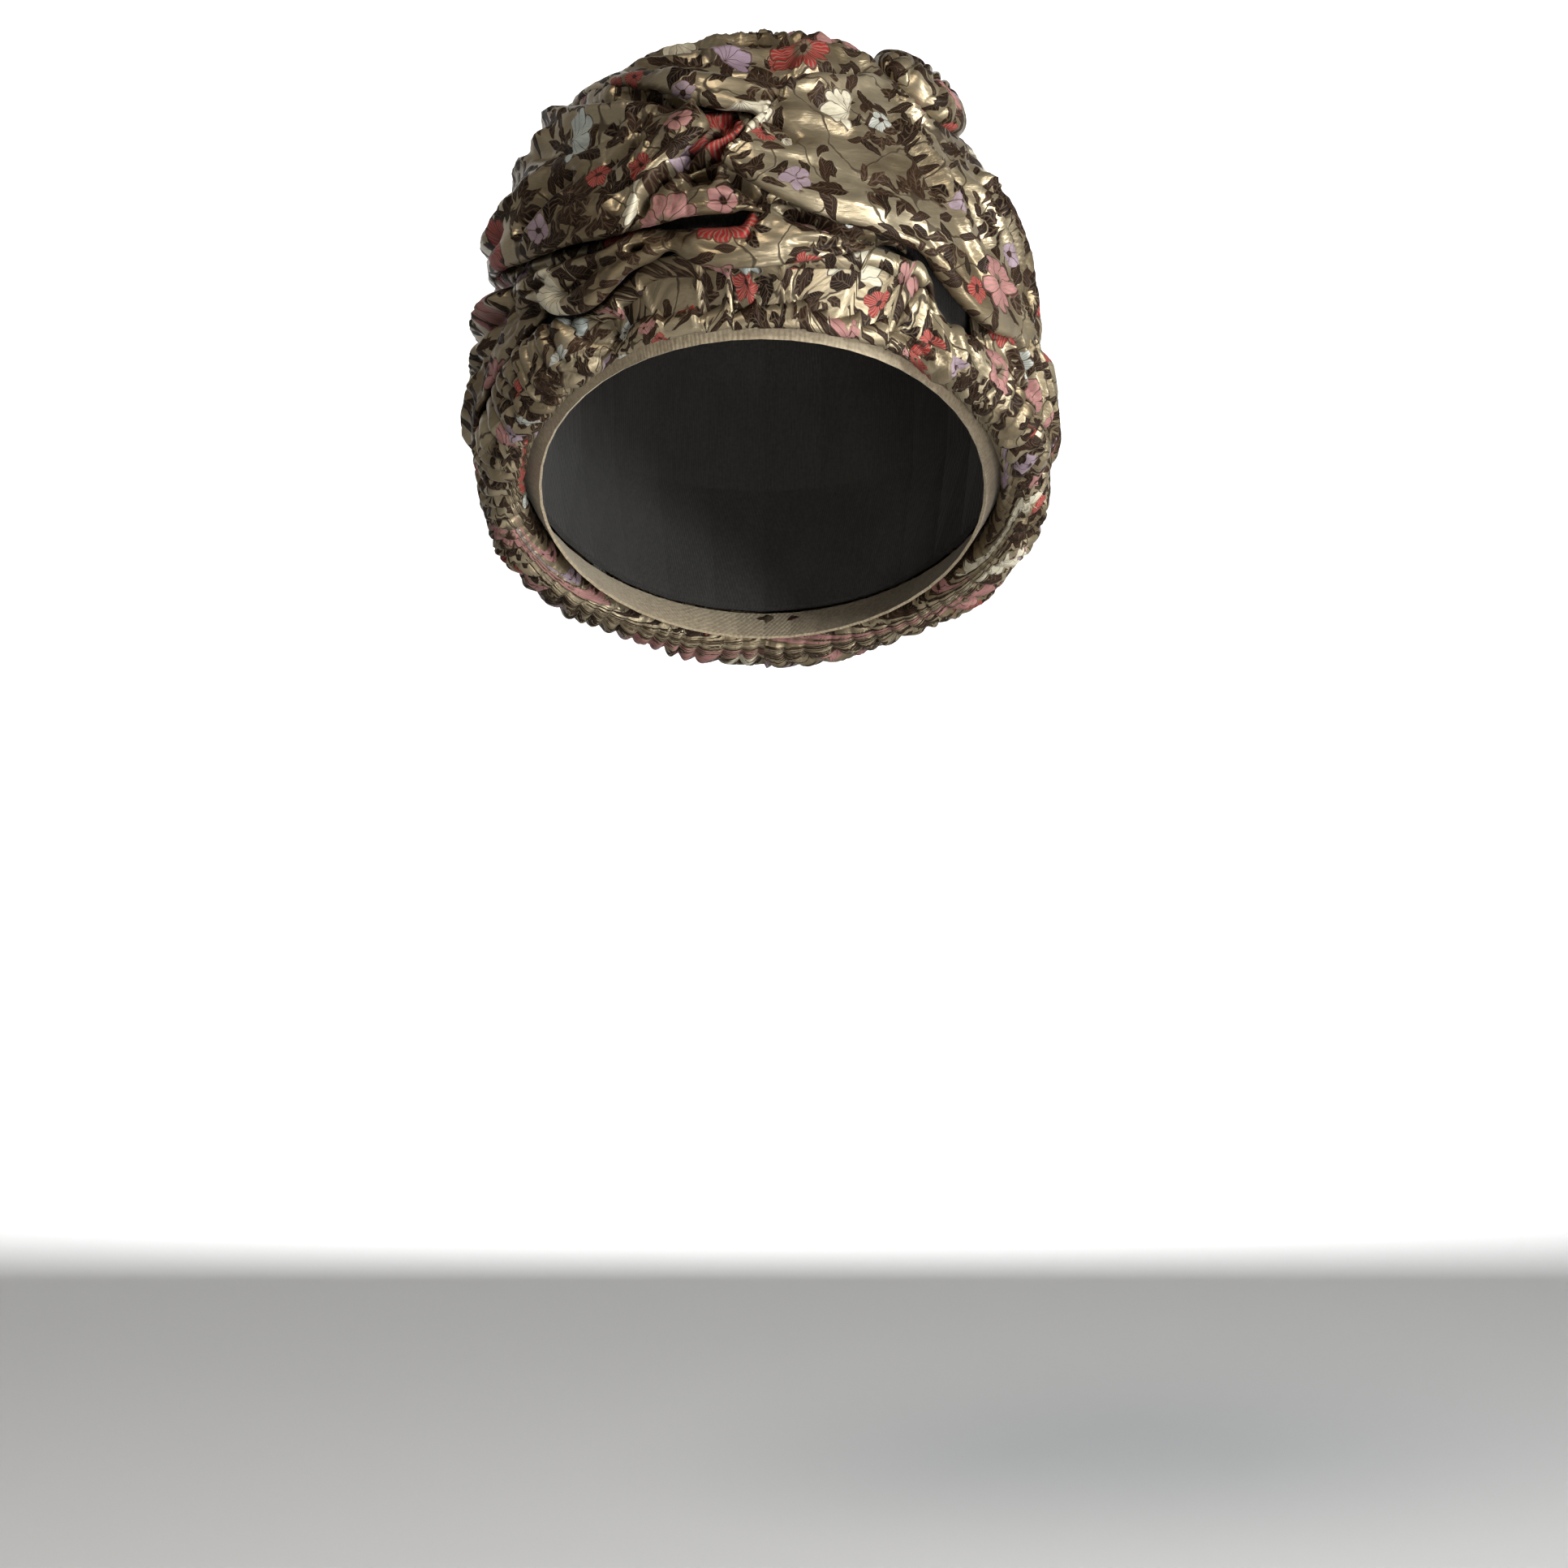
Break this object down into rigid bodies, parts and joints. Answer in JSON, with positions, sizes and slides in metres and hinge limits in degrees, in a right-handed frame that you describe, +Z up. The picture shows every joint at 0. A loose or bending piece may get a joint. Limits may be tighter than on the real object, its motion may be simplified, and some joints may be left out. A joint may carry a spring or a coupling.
{
  "type": "turban headwrap",
  "caption": "Women's turban headwrap in floral satin brocade, with crossed folds at the front, a ruched roll round the face and a knot high on one side.",
  "frame": {"origin": "inside top of the crown, where it bears on the head", "axes": "+Z up, -Y towards the front of the hat, +X to the viewer's right"},
  "size_m": [0.1993, 0.23, 0.2073],
  "materials": {
    "brocade": "satin",
    "inner_cloth": "matte",
    "ribbon": "matte"
  },
  "bodies": {
    "root": {"crown": "inner_cloth", "face_roll": "brocade", "sweatband": "ribbon", "lower_wrap": "brocade", "front_twist": "brocade", "left_drape": "brocade", "right_gather": "brocade", "left_wrap": "brocade", "top_drape": "brocade", "back_fold": "brocade", "top_knot": "brocade"}
  },
  "joints": []
}
